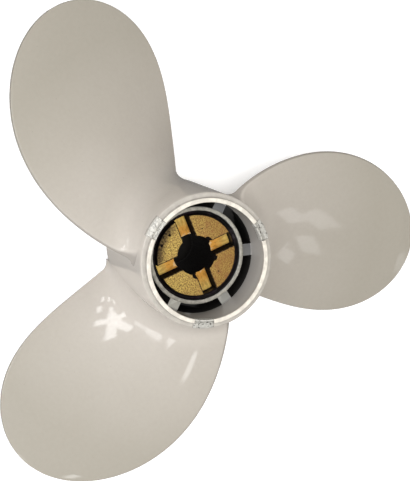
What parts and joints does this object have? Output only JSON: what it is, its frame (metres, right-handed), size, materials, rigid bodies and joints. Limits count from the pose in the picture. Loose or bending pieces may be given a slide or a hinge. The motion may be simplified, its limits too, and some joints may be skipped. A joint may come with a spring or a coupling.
{
  "type": "small outboard motor propeller",
  "caption": "Right-handed three-blade boat propeller with a through-hub exhaust barrel, a rubber cushion and a pin-driven bronze bush.",
  "frame": {"origin": "on the shaft axis, in the plane of the drive bush's front face", "axes": "+Z along the shaft towards the front end of the propeller, +X and +Y through two of the four drive slots"},
  "size_m": [0.1631, 0.1714, 0.0484],
  "materials": {
    "painted_casting": "gloss warm light-grey enamel over die-cast aluminium",
    "cushion_rubber": "matt black moulded rubber with oil film",
    "sintered_bronze": "speckled sintered bronze, rubbed brighter in the slots"
  },
  "bodies": {
    "root": {"hub_barrel": "painted_casting", "inner_sleeve": "painted_casting", "rib_1": "painted_casting", "rib_2": "painted_casting", "rib_3": "painted_casting", "rib_4": "painted_casting", "rib_5": "painted_casting", "rib_6": "painted_casting", "gate_stub_1": "painted_casting", "gate_stub_2": "painted_casting", "gate_stub_3": "painted_casting", "blade_1": "painted_casting", "blade_2": "painted_casting", "blade_3": "painted_casting", "rubber_ring": "cushion_rubber", "drive_bush": "sintered_bronze"}
  },
  "joints": []
}
